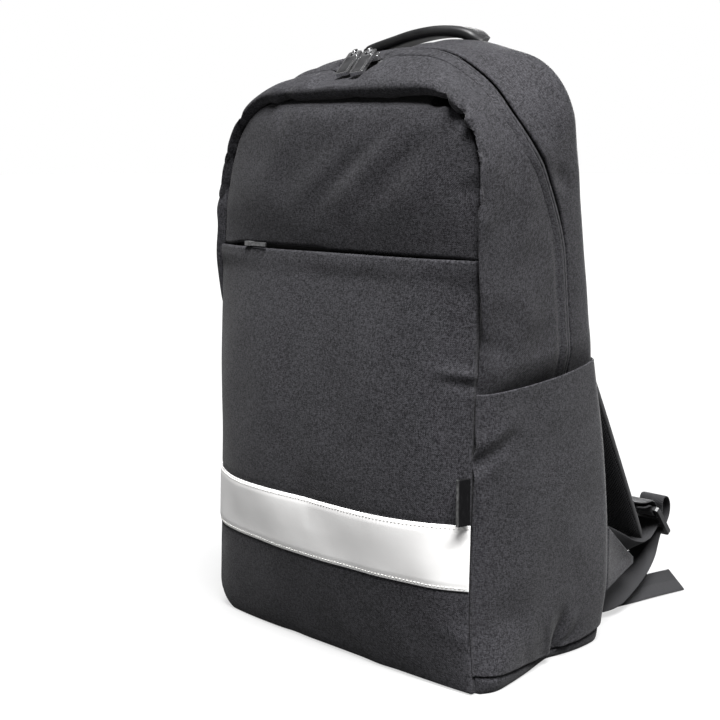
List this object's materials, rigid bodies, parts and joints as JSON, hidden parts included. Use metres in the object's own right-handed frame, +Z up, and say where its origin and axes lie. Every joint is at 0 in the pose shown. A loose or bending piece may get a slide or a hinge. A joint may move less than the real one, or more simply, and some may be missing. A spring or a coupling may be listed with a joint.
{
  "type": "backpack",
  "caption": "Upright padded laptop backpack with a domed zipped top, a slit front pocket, a pale band low on the front, open side pockets, a grab handle and padded shoulder straps",
  "frame": {"origin": "middle of the flat base, on the surface the bag stands on", "axes": "+Z up, -Y out of the front panel, +X to the bag's right as seen from the front"},
  "size_m": [0.32, 0.3592, 0.4989],
  "materials": {
    "shell_cloth": "charcoal heathered woven polyester, matt",
    "pale_band": "off-white reflective tape, smooth and slightly sheeny",
    "black_trim": "black zip tape, label and pull inserts, matt",
    "zip_metal": "dark nickel plating",
    "air_mesh": "dark spacer mesh over foam",
    "handle_cover": "smooth black leatherette",
    "webbing": "dark grey twill webbing",
    "black_plastic": "moulded black acetal"
  },
  "bodies": {
    "bag": {"front_panel_upper": "shell_cloth", "front_panel_lower": "shell_cloth", "reflective_band": "pale_band", "label_tab": "black_trim", "pocket_zip": "black_trim", "pocket_zip_slider": "zip_metal", "top_hood": "shell_cloth", "side_panel_left": "shell_cloth", "side_panel_right": "shell_cloth", "back_gusset": "shell_cloth", "main_zip": "black_trim", "zip_flap_left": "shell_cloth", "zip_flap_right": "shell_cloth", "zip_slider_left": "zip_metal", "zip_slider_right": "zip_metal", "bottom_panel": "shell_cloth", "back_panel": "air_mesh", "side_pocket_left": "shell_cloth", "side_pocket_right": "shell_cloth", "handle_grip": "handle_cover", "handle_webbing_left": "webbing", "handle_webbing_right": "webbing", "shoulder_strap_left": "air_mesh", "shoulder_strap_right": "air_mesh", "lock_tab_left": "webbing", "lock_tab_right": "webbing", "ladder_lock_left": "black_plastic", "ladder_lock_right": "black_plastic", "adjuster_webbing_left": "webbing", "adjuster_webbing_right": "webbing", "anchor_wing_left": "shell_cloth", "anchor_wing_right": "shell_cloth"},
    "pull_left": {"zip_pull_left": "zip_metal", "pull_insert_left": "black_trim"},
    "pull_right": {"zip_pull_right": "zip_metal", "pull_insert_right": "black_trim"}
  },
  "joints": [
    {"name": "pull_left_swing", "type": "hinge", "parent": "bag", "child": "pull_left", "pos_m": [-0.01989, -0.04085, 0.476], "axis": [-0.9626, -0.2354, -0.1344], "range_deg": [0, 185]},
    {"name": "pull_right_swing", "type": "hinge", "parent": "bag", "child": "pull_right", "pos_m": [-0.00344, -0.04088, 0.47628], "axis": [-0.9654, -0.236, -0.111], "range_deg": [0, 185]}
  ]
}
